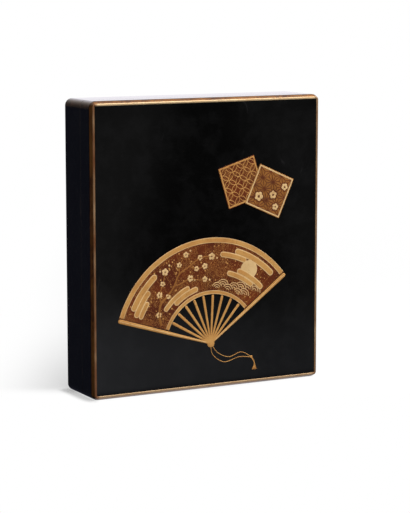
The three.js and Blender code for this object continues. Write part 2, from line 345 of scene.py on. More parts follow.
def agedCopper():
    # Copper with patina in clouds and small hammer marks, bright where worn
    look = {**tones(metal=(150, 94, 62), bright=(196, 132, 88), brown=(104, 64, 46)), "shiny": 0.92,
            "rough": 0.3}
    f = Finish("agedCopper", "dropper_metal")
    patina = f.ease(f.clouds(7, 5), 0.3, 0.75)
    return f.surface({
        "Base Color": f.over(look["metal"], (patina, look["brown"]), (f.wear() * 0.7, look["bright"])),
        "Metallic": look["shiny"] - patina * 0.2,
        "Roughness": look["rough"] + patina * 0.22,
        "Normal": f.bump(f.grains(1.9), 0.05, f.bump(f.clouds(1.1, 3), 0.012)),
    })


def paintedBoreShade():
    # Painted shade for the inside of the dropper's holes: two dark browns in small clouds
    look = {**tones(soot=(18, 12, 9), brown=(34, 22, 16)), "metal": 0.4, "rough": 0.55}
    f = Finish("paintedBoreShade")
    soot = f.clouds(1.5, 3)
    return f.surface({"Base Color": f.blend(soot, look["soot"], look["brown"]), "Metallic": look["metal"],
                      "Roughness": look["rough"] + soot * 0.2})


# Raised lacquers: wear, metal, roughness, relief in millimetres and shine
raisedGold = {"wear": 0.5, "metal": 0.22, "rough": 0.36, "relief": 0.03, "shine": 0.2}
black = blackLacquer()
bevelGilt = giltBevel()
gold = goldLacquer("goldLacquer", {**raisedGold, **tones(
    gold=(206, 150, 80), deep=(190, 126, 58), light=(230, 184, 116), ground=(140, 80, 36))})
oldGold = goldLacquer("oldGold", {**raisedGold, **tones(
    gold=(156, 98, 42), deep=(130, 76, 30), light=(190, 134, 68), ground=(104, 52, 20))})
paleGold = goldLacquer("paleGold", {**raisedGold, **tones(
    gold=(230, 190, 130), deep=(214, 168, 106), light=(244, 216, 168), ground=(170, 110, 60)),
    "wear": 0.4, "metal": 0.2, "rough": 0.34})
brownLacquer = goldLacquer("brownLacquer", {**raisedGold, **tones(
    gold=(100, 44, 16), deep=(76, 32, 14), light=(136, 76, 34), ground=(54, 24, 12)),
    "wear": 0.4, "metal": 0.1, "rough": 0.32}, "red_brown_lacquer")
# The gold line, with painted shade on its upright sides, more on the left, and near its foot: metres across
# or up, then the share at both ends of that stretch
lineGold = goldLacquer("lineGold", {**tones(
    gold=(228, 196, 148), deep=(210, 170, 116), light=(246, 222, 184), ground=(128, 84, 55),
    rubbed=(114, 62, 24)),
    "wear": 0.25, "metal": 0.55, "rough": 0.34, "relief": 0.006, "shine": 0.5,
    "leftSideShade": (-0.104, -0.1, 0.95, 0), "rightSideShade": (0.1, 0.104, 0, 0.72), "footShade": (0.004, 0.022, 0.5, 0)})
# Flakes: millimetres between them, where they end as a share of that, and the clouds that crowd them
redBrown = sprinkled("redBrownLacquer", "red_brown_lacquer", {**tones(
    ground=(112, 50, 18), other=(86, 36, 16), gold=(176, 108, 46), light=(220, 166, 92)),
    "flake": 0.5, "flakeEdge": (0.38, 0.46), "cloud": 15, "drift": 26, "thin": 0.03, "thick": 0.8,
    "rough": 0.3, "shine": 0.2})
flecked = sprinkled("fleckedLacquer", "flecked_lacquer", {**tones(
    ground=(96, 50, 20), other=(74, 36, 16), gold=(198, 140, 62), light=(236, 190, 108)),
    "flake": 0.85, "flakeEdge": (0.26, 0.34), "cloud": 30, "drift": 40, "thin": 0.45, "thick": 0.8,
    "rough": 0.2, "shine": 0.5})
slate = inkSlate()
copper = agedCopper()
boreShade = paintedBoreShade()
print("finishes: made")

# Meshes
weldReach = 2e-7  # metres between points that become one
straightOn = 0.9  # millimetres that the sides run on from a corner before they are divided
sink = 0.1  # millimetres that raised lacquer goes down into its ground
roundPlace, flatPlace = 0.25, 0.3  # how far a rounded corner and the flat beside it reach from its number
cornerWear = 0.45  # of upright corners, next to 1 on a worn arris
ridgeWear = 0.4


def gridFaces(rows, columns, closedRows=False, closedColumns=False):
    # One quad between each four neighbours of a grid, which wraps round where it is closed
    r = np.arange(rows if closedRows else rows - 1)[:, None]
    c = np.arange(columns if closedColumns else columns - 1)[None, :]
    down = (r + 1) % rows * columns
    across = (c + 1) % columns
    quads = np.broadcast_arrays(r * columns + c, r * columns + across, down + across, down + c)
    return np.stack(quads, axis=-1).reshape(-1, 4)


def placed(name, data):
    # An object of the data, in the scene
    made = bpy.data.objects.new(name, data)
    bpy.context.scene.collection.objects.link(made)
    return made


def addPiece(name, parts, finishes, rides="lid", stands=(), weld=True, crease=60):
    # Joins parts into one mesh: points and quads and, where given, loops that close ends, the finish of each
    # face and the wear of each point. Edges over crease degrees stay sharp.
    points, faces, finish, wear = [], [], [], []
    for part in parts:
        start = sum(len(p) for p in points)
        shape = np.asarray(part["points"], float).reshape(-1, 3)
        patches = [part["faces"]] + [np.array([end]) for end in part.get("ends", ())]
        points.append(shape)
        for patch in patches:
            faces += (patch + start).tolist()
        finish.append(np.broadcast_to(part.get("finish", 0), sum(len(patch) for patch in patches)))
        wear.append(np.broadcast_to(part.get("wear", 0.0), len(shape)))
    mesh = bpy.data.meshes.new(name)
    mesh.from_pydata(stand(np.concatenate(points)).tolist(), [], faces)
    mesh.polygons.foreach_set("material_index", np.concatenate(finish).astype(np.int32))
    mesh.polygons.foreach_set("use_smooth", np.ones(len(faces), bool))
    worn = mesh.attributes.new("wear", "FLOAT", "POINT")
    worn.data.foreach_set("value", np.concatenate(wear).astype(np.float32))
    work = bmesh.new()
    work.from_mesh(mesh)
    if weld:
        bmesh.ops.remove_doubles(work, verts=work.verts, dist=weldReach)
    bmesh.ops.recalc_face_normals(work, faces=work.faces)
    work.to_mesh(mesh)
    work.free()
    mesh.set_sharp_from_angle(angle=math.radians(crease))
    for each in finishes:
        mesh.materials.append(each.material)
    piece = placed(name, mesh)
    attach(piece, rides)
    if stands:
        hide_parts(*stands)


def stacked(x, y, z, ends=(), closed=False, finish=0, wear=0.0):
    # Loops of points as one part, closed at the loops that ends names, or with the last joined to the first
    points = np.stack(np.broadcast_arrays(x, y, z), axis=-1)
    rows, count = points.shape[:2]
    return {"points": points, "faces": gridFaces(rows, count, closed, True), "finish": finish,
            "ends": [np.arange(count) + end % rows * count for end in ends],
            "wear": np.broadcast_to(wear, (rows, count)).reshape(-1)}


def roundLoop(halfX, halfY, radius, perCorner=8, perSide=1):
    # Rounded rectangle, anticlockwise: quarter circles that run on straight a little way, so that the sides
    # shade flat, and straight runs between them
    turn = np.radians(np.linspace(-90, 0, perCorner + 1) + 90 * np.arange(4)[:, None])
    middle = np.array([[1, -1], [1, 1], [-1, 1], [-1, -1]]) * [halfX - radius, halfY - radius]
    corner = middle[:, None] + radius * np.stack([np.cos(turn), np.sin(turn)], axis=-1)
    reach = min(straightOn, (min(halfX, halfY) - radius) / 4)
    on = reach * np.stack([-np.sin(turn), np.cos(turn)], axis=-1)
    corner = np.concatenate([corner[:, :1] - on[:, :1], corner, corner[:, -1:] + on[:, -1:]], axis=1)
    share = (np.arange(1, perSide) / perSide)[:, None]
    side = corner[:, -1:] * (1 - share) + np.roll(corner[:, :1], -1, axis=0) * share
    return np.concatenate([corner, side], axis=1).reshape(-1, 2)


def setIn(halfX, halfY, insets, radii, *steps):
    # x and y of a rounded rectangle for each inset and corner radius
    loops = [roundLoop(halfX - inset, halfY - inset, radius, *steps) for inset, radius in zip(insets, radii)]
    return np.moveaxis(np.array(loops), -1, 0)


def rounded(corners, steps=5, support=0.35):
    # Profile of (inset, height, reach) corners, each rounded by P + (1 - s)^2 u + s^2 v, with u and v of
    # that reach back and on. The last column numbers the places: 1 is the second corner.
    profile = []
    for i, (inset, height, reach) in enumerate(corners):
        here = np.array([inset, height], float)
        if not reach:
            profile.append([*here, i])
            continue
        back = np.array(corners[i - 1][:2]) - here
        on = np.array(corners[(i + 1) % len(corners)][:2]) - here
        back = back / np.linalg.norm(back)
        on = on / np.linalg.norm(on)
        profile.append([*(here + back * reach * (1 + support)), i - flatPlace])
        for s in np.linspace(0, 1, steps + 1):
            spot = here + (1 - s) ** 2 * reach * back + s ** 2 * reach * on
            profile.append([*spot, i - roundPlace + 2 * roundPlace * s])
        profile.append([*(here + on * reach * (1 + support)), i + flatPlace])
    return np.array(profile)


def shell(profile, halfX, halfY, radius, zones=(), worn=(), closed=False, perCorner=8, least=0.4, tighten=1):
    # The profile carried round a rounded rectangle, whose corner radius is less by tighten times the inset.
    # A zone gives its finish to the places between its two.
    inset, height, place = profile.T
    x, y = setIn(halfX, halfY, inset, np.maximum(radius - tighten * inset, least), perCorner)
    middle = place + 0.5 * (np.roll(place, -1) - place)
    bands = np.repeat(middle if closed else middle[:-1], x.shape[1])
    if not closed:
        bands = np.append(bands, [place[0], place[-1]])
    finish = sum((number * ((bands > low) & (bands < high)) for low, high, number in zones), 0 * bands)
    nearest = np.round(place)
    ridge = np.isin(nearest, worn) * np.clip(1 - np.abs(place - nearest) / flatPlace, 0, 1)
    arc = np.tile(np.sin(np.pi * np.clip(np.arange(-1, perCorner + 2) / perCorner, 0, 1)), 4)
    wear = np.maximum(ridge[:, None], cornerWear * arc[None, :] * (len(worn) > 0))
    return stacked(x, y, height[:, None], () if closed else (0, -1), closed, finish, wear)


def bead(inset, width, rise, top, steps):
    # Half ellipse over a surface at the height top, closed below it
    a = np.radians(np.linspace(0, 180, steps))
    out = inset + np.cos(a) * width / 2
    out = np.append(out, out[[-1, 0]])
    height = np.append(top + np.sin(a) * rise, [top - sink] * 2)
    return np.stack([out, height, np.arange(len(out))], axis=1)


def moved(part, x=0.0, y=0.0, turn=0.0):
    # The part turned about z, then shifted
    points = np.asarray(part["points"], float).reshape(-1, 3)
    c, s = math.cos(math.radians(turn)), math.sin(math.radians(turn))
    turned = [c * points[:, 0] - s * points[:, 1] + x, s * points[:, 0] + c * points[:, 1] + y, points[:, 2]]
    return {**part, "points": np.stack(turned, axis=1)}


def ridges(paths, ground, width, rise, across=7, square=2):
    # Raised lacquer along several paths at once, round at both ends: its height is the rise times the root
    # of 1 - d^square, with d the distance from the middle line as a share of half the width
    paths = np.asarray(paths, float)
    paths = paths.reshape(-1, *paths.shape[-2:])
    step = np.gradient(paths, axis=1)
    step /= np.linalg.norm(step, axis=-1, keepdims=True)
    side = np.stack([-step[..., 1], step[..., 0]], axis=-1)
    gone = np.linalg.norm(np.diff(paths, axis=1), axis=-1).cumsum(axis=1)
    gone = np.concatenate([np.zeros((len(paths), 1)), gone], axis=1)
    toEnd = np.minimum(gone, gone[:, -1:] - gone)
    full = np.broadcast_to(width, gone.shape) / 2
    part = np.sqrt(np.clip(1 - np.clip(1 - toEnd / full, 0, 1) ** 2, 0, 1))
    v = np.sin(np.radians(np.linspace(-90, 90, across)))
    v = np.concatenate([v, [1, -1]])[None, :, None]
    spot = paths[:, None] + v[..., None] * (full * part)[:, None, :, None] * side[:, None]
    near = np.clip(1 - (1 - v ** 2) * (part ** 2)[:, None], 0, 1) ** 0.5
    lift = rise * np.sqrt(np.clip(1 - near ** square, 0, 1))
    lift[:, -2:] = -sink
    height = ground(spot[..., 0], spot[..., 1]) + lift
    points = np.concatenate([spot, height[..., None]], axis=-1)
    one = gridFaces(across + 2, paths.shape[1], True, False)
    faces = one[None] + (np.arange(len(paths)) * points.shape[1] * points.shape[2])[:, None, None]
    return {"points": points, "faces": faces.reshape(-1, 4), "wear": ridgeWear}


def crowded(count):
    # (1 - cos t) / 2 over half a turn: from 0 to 1, closer together at both ends
    return (1 - np.cos(np.linspace(0, np.pi, count))) / 2


def disc(x, y, ground, radius, rise, across=15, square=6):
    # Round bosses, one at each x and y: a ridge as long as it is wide
    run = np.asarray(x, float)[..., None] + radius * (2 * crowded(2 * across) - 1)
    path = np.stack([run, np.broadcast_to(np.asarray(y, float)[..., None], run.shape)], axis=-1)
    return ridges(path, ground, 2 * radius, rise, across, square)


def smoothPath(points, count):
    # Smooth curve through the points: from b to c, with a before and d after them, it is
    # b + s / 2 (c - a + s (2a - 5b + 4c - d + s (3b - 3c + d - a)))
    p = np.asarray(points, float)
    p = np.concatenate([2 * p[:1] - p[1:2], p, 2 * p[-1:] - p[-2:-1]])
    t = crowded(count) * (len(points) - 1)
    i = np.minimum(t.astype(int), len(points) - 2)
    s = (t - i)[:, None]
    a, b, c, d = p[i], p[i + 1], p[i + 2], p[i + 3]
    return b + s / 2 * (c - a + s * (2 * a - 5 * b + 4 * c - d + s * (3 * (b - c) + d - a)))


# Lid: one lacquered skin over its boards. Places of the profile: 1 is the face's edge, 2 the bevel's foot,
# 3 and 4 the rim, 5 the ceiling. Zones: finish 1 is gilt, on bevel and rim, and 2 flecked, inside.
lidFace = lying("lid_board")[1][2]
lidCeiling = lying("lid_board")[0][2]
lidRim = lying("lid_wall_left")[0][2]
lidWall = lying("lid_wall_left")[1][0] + halfWidth
lid = {"bevel": 1.88, "bevelDepth": 3.0, "faceArris": 0.35, "sideArris": 0.55, "rimRound": 0.25,
       "insideRound": 1.6, "field": 6, "tighten": 1.8, "zones": ((1, 2, 1), (3.2, 3.8, 1), (3.8, 9, 2)),
       "line": {"inset": 2.83, "width": 1.88, "rise": 0.36, "steps": 9}}


def lidPieces():
    # The shell, and the bead of gold carried round the face just inside the bevel
    profile = rounded([
        (lid["field"], lidFace, 0),
        (lid["bevel"], lidFace, lid["faceArris"]),
        (0, lidFace - lid["bevelDepth"], lid["sideArris"]),
        (0, lidRim, lid["rimRound"]),
        (lidWall, lidRim, lid["rimRound"]),
        (lidWall, lidCeiling, lid["insideRound"]),
        (lidWall + lid["field"], lidCeiling, 0),
    ])
    size = halfWidth, halfLength, cornerRadius
    skin = shell(profile, *size, lid["zones"], worn=(2, 3), tighten=lid["tighten"])
    addPiece("lid_shell", [skin], [black, bevelGilt, flecked], "lid", ["lid_board"] + fourSides("lid_wall_"),
             weld=False, crease=34)
    line = shell(bead(top=lidFace, **lid["line"]), *size, closed=True, tighten=lid["tighten"])
    addPiece("lid_gold_line_bead", [line], [lineGold], "lid", ["lid_gold_line"], weld=False)


lidPieces()
print("lid: shell and gold line")

# Fan: all of it is in degrees anticlockwise from its middle and in millimetres from its pivot. Valley and
# ridge are the heights of its folds.
fan = {"x": 2, "y": -84, "lean": 10, "spread": 126, "outer": 90, "inner": 42, "sticks": 11, "guardWidth": 3.6,
       "gap": 0.3, "valley": 0.16, "ridge": 0.42, "rim": 0.5}
foldStep = fan["spread"] / (fan["sticks"] - 1)
guardAngles = np.array([[-1], [1]]) * fan["spread"] / 2


def onFan(angle, radius):
    # x = pivot - radius sin(angle + lean), y = pivot + radius cos(angle + lean)
    a = np.radians(np.asarray(angle, float) + fan["lean"])
    spot = fan["x"] - radius * np.sin(a), fan["y"] + radius * np.cos(a)
    return np.stack(np.broadcast_arrays(*spot), axis=-1)


def alongArc(radius, start, end, count):
    # A run of points at one radius, from one angle to another
    return onFan(start + (end - start) * crowded(count), radius)


def pleat(x, y):
    # Height of the folded sheet above the face: up at each stick, down midway between two
    angle = np.degrees(np.arctan2(fan["x"] - x, y - fan["y"])) - fan["lean"]
    share = (angle + fan["spread"] / 2) / foldStep
    up = np.abs(2 * (share - np.floor(share)) - 1)
    return lidFace + fan["valley"] + (fan["ridge"] - fan["valley"]) * up


def level(rise):
    # A flat ground that lies so far above the lid's face
    return lambda x, y: np.full(np.shape(x), lidFace + rise)


bare = level(0)
sheet = {"edge": 0.3, "edgeShares": (0, 0, 0.1, 0.4, 1), "plain": 3, "rings": 14, "perFold": 6}


def fanSheet():
    # Grid of angle by radius on the pleats. At a share d of the edge's width the height is the pleat's times
    # the root of 1 - (1 - d)^2, and the outermost lines go down into the face.
    ease = sheet["edge"] * np.array(sheet["edgeShares"])
    rings = np.linspace(fan["inner"] + sheet["plain"], fan["outer"] - sheet["plain"], sheet["rings"])
    radius = np.concatenate([fan["inner"] + ease, rings, fan["outer"] - ease[::-1]])
    half = fan["spread"] / 2 - np.degrees(np.arcsin((fan["guardWidth"] / 2 + fan["gap"]) / radius))
    turn = np.degrees(ease[:, None] / radius)
    last = (fan["spread"] - foldStep) / 2
    folds = np.linspace(-last, last, sheet["perFold"] * (fan["sticks"] - 2) + 1)
    angle = np.concatenate([turn - half, np.repeat(folds[:, None], len(radius), 1), (half - turn)[::-1]])
    spot = onFan(angle, radius)
    inside = np.minimum(np.minimum(radius - fan["inner"], fan["outer"] - radius),
                        np.radians(half - np.abs(angle)) * radius)
    fall = np.clip(1 - inside / sheet["edge"], 0, 1)
    height = lidFace + (pleat(spot[..., 0], spot[..., 1]) - lidFace) * np.sqrt(1 - fall ** 2)
    height[[0, -1]] = height[:, [0, -1]] = lidFace - sink
    rows, columns = height.shape
    grid = np.arange(rows * columns).reshape(rows, columns)
    rim = np.concatenate([grid[0, :-1], grid[:-1, -1], grid[-1, :0:-1], grid[:0:-1, 0]])
    part = {"points": np.concatenate([spot, height[..., None]], axis=-1), "ends": [rim],
            "faces": gridFaces(rows, columns)}
    addPiece("fan_sheet", [part], [redBrown], "lid", ["fan_leaf"], weld=False, crease=50)


# Lines and bosses are given as width or radius, if that is one for all, rise, points across and squareness.
# Bands: radius, angle to both sides, width and points along them. Ends: millimetres left free at a line's
# start and end.
mount = {"bands": [(fan["outer"] - 2.3, 61.2, 4.0, 241), (fan["inner"] + 1.7, 59.6, 2.8, 161)],
         "band": (0.13, 9, 8), "rim": (fan["rim"], 0.2, 7, 4), "rimSet": 0.1,
         "fold": (0.26, 0.04, 5), "foldEnds": (2.6, 3.6),
         "guard": (0.6, 0.14, 5), "guardLevel": 0.46, "guardEnds": (5, 1)}


def fanMount():
    # Bands along the sheet's arcs with paler rims on both edges, a line down each fold and one on each guard
    bands, rims = [], []
    for radius, half, width, count in mount["bands"]:
        bands.append(ridges(alongArc(radius, -half, half, count), pleat, width, *mount["band"]))
        for side in (-1, 1):
            run = alongArc(radius + side * (width / 2 - mount["rimSet"]), -half, half, count)
            rims.append(ridges(run, pleat, *mount["rim"]))
    start, end = mount["foldEnds"]
    fold = np.arange(1, 2 * (fan["sticks"] - 1)) * foldStep / 2 - fan["spread"] / 2
    radius = fan["inner"] + start + (fan["outer"] - fan["inner"] - start - end) * crowded(30)
    lines = ridges(onFan(fold[:, None], radius[None, :]), pleat, *mount["fold"])
    start, end = mount["guardEnds"]
    radius = start + (fan["outer"] - start - end) * crowded(50)[None]
    rims.append(ridges(onFan(guardAngles, radius), level(mount["guardLevel"]), *mount["guard"]))
    addPiece("fan_gold_mount", bands, [gold])
    addPiece("fan_folds", [lines], [oldGold])
    addPiece("fan_rims", rims, [paleGold])


sticks = {"footWidth": 1.6, "width": 2.4, "guardTaper": 0.8, "rib": (0.4, 9, 4), "guard": (0.5, 9, 4),
          "ribFrom": 0.01, "guardFrom": 0.005, "rivet": (3.4, 0.6, 15, 4), "pin": (1.1, 0.68, 15, 3)}


def fanSticks():
    # Ribs below the sheet and a guard stick at each side, wider away from the pivot, the rivet's dome and pin
    ribs = (np.arange(1, fan["sticks"] - 1) * foldStep - fan["spread"] / 2)[:, None]
    share = sticks["ribFrom"] + (1 - sticks["ribFrom"]) * crowded(24)[None, :]
    reach = fan["inner"] - fan["gap"]
    width = sticks["footWidth"] + (sticks["width"] - sticks["footWidth"]) * share
    parts = [ridges(onFan(ribs, reach * share), bare, width, *sticks["rib"])]
    share = sticks["guardFrom"] + (1 - sticks["guardFrom"]) * crowded(60)[None, :]
    width = np.interp(share * fan["outer"], [0, reach, fan["outer"]],
                      [sticks["footWidth"], fan["guardWidth"] * sticks["guardTaper"], fan["guardWidth"]])
    parts.append(ridges(onFan(guardAngles, fan["outer"] * share), bare, width, *sticks["guard"]))
    parts += [disc(fan["x"], fan["y"], bare, *sticks[name]) for name in ("rivet", "pin")]
    addPiece("fan_sticks", parts, [gold], "lid", ["fan_ribs"])


# Bands of drifting mist: radius, first and last angle, width and extra rise of each
mist = {"rise": 0.11, "rimRise": 0.08, "steps": 121, "section": (11, 8), "bands": [
    (80.0, 30, 55, 4.4, 0), (75.4, 40, 58, 4.0, 0.04), (71.0, 46, 58, 3.4, 0.08),
    (80.4, -57, -27, 4.4, 0), (75.8, -36, -17, 3.8, 0.04),
    (65.4, -58, -33, 4.0, 0.08), (61.0, -50, -25, 3.6, 0.04),
    (49.2, 5, 33, 3.8, 0), (53.2, 13, 44, 3.4, 0.04)]}


def fanMist():
    # Each band has a paler one under it, wider and longer by the rim, that shows round it
    for name, finish, rim, rise in (("fan_mist", gold, 0, mist["rise"]),
                                    ("fan_mist_rims", paleGold, fan["rim"], mist["rimRise"])):
        parts = []
        for radius, start, end, width, more in mist["bands"]:
            over = math.degrees(rim / radius)
            run = alongArc(radius, start - over, end + over, mist["steps"])
            parts.append(ridges(run, pleat, width + 2 * rim, rise + more, *mist["section"]))
        addPiece(name, parts, [finish])


# Waves: arcs by share of the size and starting angle. They keep left of the border, an angle that falls by
# the slope per millimetre outwards. Lengths in a row become angles at the bend radius.
waves = {"size": 6.2, "rows": 5, "columns": 9, "firstAngle": -61, "firstRadius": 46, "bend": 56,
         "border": -14, "slope": 2.6, "arcs": ((0.96, 30), (0.66, 35), (0.36, 40)), "line": (0.62, 0.07, 5)}


def fanWaves():
    # Overlapping wave scales: three arcs round each centre, the centres set like bricks
    size = waves["size"]
    row, column = np.meshgrid(np.arange(waves["rows"]), np.arange(waves["columns"]), indexing="ij")
    along = (column + 0.5 * (row % 2)) * 2 * size
    angle = waves["firstAngle"] + np.degrees((along + size) / waves["bend"])
    angle, radius = np.stack([angle, waves["firstRadius"] + row * size / 2]).reshape(2, -1)
    least = np.degrees((size + fan["guardWidth"] / 2 + fan["gap"]) / radius) - fan["spread"] / 2
    keep = (angle < waves["border"] - waves["slope"] * (radius - waves["firstRadius"])) & (angle > least)
    parts = []
    for share, start in waves["arcs"]:
        turn = np.radians(start + (180 - 2 * start) * crowded(15))
        across = np.degrees(share * size * np.cos(turn) / waves["bend"])
        lines = onFan(angle[keep, None] + across, radius[keep, None] + share * size * np.sin(turn))
        parts.append(ridges(lines, pleat, *waves["line"]))
    addPiece("fan_waves", parts, [paleGold])


# Blossoms: where petals lie, and the size of petal and heart, as shares of the radius
flower = {"petals": 5, "petalAt": 0.58, "petal": 0.43, "heart": 0.24, "heartRise": 0.02}


def blossom(x, y, radius, turn, ground, rise=0.2):
    # Round petals at equal angles about the middle, and the small boss between them
    a = np.radians(turn + 360 / flower["petals"] * np.arange(flower["petals"]))
    out = flower["petalAt"] * radius
    petals = disc(x + out * np.cos(a), y + out * np.sin(a), ground, flower["petal"] * radius, rise, 9, 2)
    return petals, disc(x, y, ground, flower["heart"] * radius, rise + flower["heartRise"], 7, 3)


# Plum branch: runs as angles and radii with the width at both ends, blossoms as angle, radius, size and
# turn, buds and the moon's place as angle and radius
plum = {
    "runs": [
        ([(58, 50), (50, 56), (41, 60), (33, 59.5), (24, 62), (16, 68), (7, 70), (-2, 74), (-10, 74)],
         2.4, 0.8),
        ([(41, 60), (37, 66), (30, 70), (24, 77)], 1.3, 0.6),
        ([(24, 62), (18, 60), (9, 60), (2, 56), (-4, 55.5)], 1.4, 0.6),
        ([(16, 68), (13, 75), (7, 80.5)], 1.1, 0.5),
        ([(7, 70), (2, 66), (-5, 66)], 1.1, 0.5)],
    "blossoms": [
        (24, 77, 3.1, 10), (37, 66, 2.7, 30), (30, 70.5, 2.3, 60), (7, 80.5, 2.6, 20), (13.5, 75, 2.3, 5),
        (9, 60, 2.9, 45), (-4, 55.5, 2.5, 15), (2, 66, 2.3, 0), (-5, 66.5, 2.7, 33), (-10.5, 74, 3.1, 12),
        (-2, 74.5, 2.4, 50), (50, 56.5, 2.6, 22), (33, 59, 2.3, 70)],
    "buds": [(-14.5, 72.6), (3.6, 82.4), (-8.6, 54.4), (26.4, 80.2), (19.5, 79.4), (5.5, 57.4)],
    "steps": 90, "rise": 0.19, "bud": (0.85, 0.18, 9, 2), "moonAt": (-41, 70.5), "moon": (8, 0.1, 41, 10)}


def tapered(points, count, first, last, rise, ground, bend=np.array):
    # A smooth run whose width goes from first to last, bent to the fan where that is asked
    return ridges(bend(smoothPath(points, count)), ground, first + (last - first) * crowded(count), rise)


def fanBranch():
    # Ridges that taper along smooth curves, petals, hearts and buds over them, and the moon
    wood = [tapered(*run[:1], plum["steps"], *run[1:], plum["rise"], pleat, lambda p: onFan(*p.T))
            for run in plum["runs"]]
    flowers = [blossom(*onFan(angle, radius), size, turn, pleat)
               for angle, radius, size, turn in plum["blossoms"]]
    buds = disc(*onFan(*np.transpose(plum["buds"])).T, pleat, *plum["bud"])
    addPiece("fan_branch", wood, [oldGold])
    addPiece("fan_blossom_hearts", [heart for _, heart in flowers], [brownLacquer])
    addPiece("fan_blossoms", [petals for petals, _ in flowers] + [buds], [paleGold])
    addPiece("fan_moon", [disc(*onFan(*plum["moonAt"]), pleat, *plum["moon"])], [paleGold])


# Cut leaf: squares within the angle to both sides, over the reach from the inner radius. Their side is the
# first number and up to the second more. A crowding under 1 strews them thicker outwards.
leaf = {"seed": 7, "count": 150, "angle": 58, "inner": 47, "reach": 37, "crowding": 0.8, "side": (0.5, 0.8),
        "rise": 0.045, "sink": 0.05}


def fanLeaf():
    # Small squares of gold leaf: flat boxes, each with its own side and turned by its own angle
    chance = np.random.default_rng(leaf["seed"])
    count = leaf["count"]
    radius = leaf["inner"] + leaf["reach"] * chance.random(count) ** leaf["crowding"]
    spots = onFan(leaf["angle"] * (2 * chance.random(count) - 1), radius)
    size = leaf["side"][0] + leaf["side"][1] * chance.random(count)
    a = (6.3 * chance.random(count))[:, None] + np.radians(45 + 90 * np.arange(4))
    corner = spots[:, None] + size[:, None, None] * np.sqrt(0.5) * np.stack([np.cos(a), np.sin(a)], axis=-1)
    corner = np.repeat(corner[:, None], 2, axis=1)
    height = pleat(corner[..., 0], corner[..., 1]) + np.array([-leaf["sink"], leaf["rise"]])[None, :, None]
    one = np.concatenate([gridFaces(2, 4, False, True), [[0, 1, 2, 3], [4, 5, 6, 7]]])
    faces = one[None] + 8 * np.arange(count)[:, None, None]
    part = {"points": np.concatenate([corner, height[..., None]], axis=-1), "faces": faces.reshape(-1, 4)}
    addPiece("fan_cut_leaf", [part], [gold], weld=False)


# Cord and tassel: points of its two strands, the knot, and the threads that fall below it
cord = {"strands": [[(2.3, -84), (8, -92), (19, -97), (31, -94), (41, -98.8)],
                    [(1.7, -84), (4, -94), (15, -101), (29, -98), (41, -99.2)]],
        "strand": (0.55, 0.22, 5), "thread": (0.42, 0.22, 5), "knotAt": (41, -99), "knot": (1.2, 0.4, 9, 2),
        "threads": 9, "leans": (-26, 10), "threadTop": (41, -99.3), "topSpread": 0.02, "footSpread": 6,
        "fall": [(0, 0), (2.2, -2.6), (3.4, -6.2), (3.9, -11)]}


def fanCord():
    # Two strands from the rivet to the knot. Each thread's foot is moved by footSpread times its lean's sine.
    parts = [ridges(smoothPath(points, 60), bare, *cord["strand"]) for points in cord["strands"]]
    parts.append(disc(*cord["knotAt"], bare, *cord["knot"]))
    for lean in np.linspace(*cord["leans"], cord["threads"]):
        run = np.array(cord["fall"], float)
        run[-1, 0] += cord["footSpread"] * math.sin(math.radians(lean))
        run += np.array(cord["threadTop"]) + [cord["topSpread"] * lean, 0]
        parts.append(ridges(smoothPath(run, 24), bare, *cord["thread"]))
    addPiece("fan_cord", parts, [gold])


for makePart in (fanSheet, fanMount, fanSticks, fanLeaf, fanWaves, fanMist, fanBranch, fanCord):
    makePart()
print("lid: fan")

# Cards: the front one has a hemp leaf lattice and a sprig, the back one interlocking circles. Sprig: runs as
# points, their number, the width at both ends and the rise, and blossoms as x, y, radius and turn.
cards = {"side": 36, "corner": 0.6, "edge": 0.2, "front": {"x": 58, "y": 42, "turn": -24},
         "back": {"x": 31, "y": 51, "turn": 17}, "frontRise": 0.5, "backRise": 0.32,
         "border": (0.5, 1.7), "borderRise": 0.12, "borderRound": 0.1, "borderSink": 0.05}
lattice = {"columns": 3, "rows": 4, "line": (0.72, 0.08, 5), "inset": 0.004}
circles = {"count": 6, "line": (0.5, 0.1, 5), "turn": (0.4, 89.2)}
sprig = {"runs": [([(-17, -12), (-9, -8.5), (-3, -9.5), (4, -3), (8, 4.5), (14.5, 9)], 70, 1.5, 0.6, 0.13),
                  ([(-3, -9.5), (3, -12), (10, -10.5)], 40, 1.0, 0.6, 0.12)],
         "blossoms": [(-8, -7.6, 4.4, 10), (4.4, -1.6, 3.8, 40), (10.6, -10.2, 3.2, 22), (12.2, 8.6, 3.4, 5)],
         "rise": 0.17, "under": 0.9, "underRise": 0.11}


def cardRing(corners, steps, closed=False):
    # A profile carried round a card's edge
    half = cards["side"] / 2
    return shell(rounded(corners, steps), half, half, cards["corner"], closed=closed, perCorner=4, least=0.1)


def cardSlab(rise):
    # A plate with rounded edges that goes down into the face
    top = lidFace + rise
    return cardRing([(0, lidFace - sink, 0), (0, top, cards["edge"]), (1, top, 0)], 4)


def cardBorder(rise):
    # Flat-topped band just inside the card's edge
    outer, inner = cards["border"]
    low, high = lidFace + rise - cards["borderSink"], lidFace + rise + cards["borderRise"]
    edge = cards["borderRound"]
    return cardRing([(outer, low, 0), (outer, high, edge), (inner, high, edge), (inner, low, 0)], 3, True)


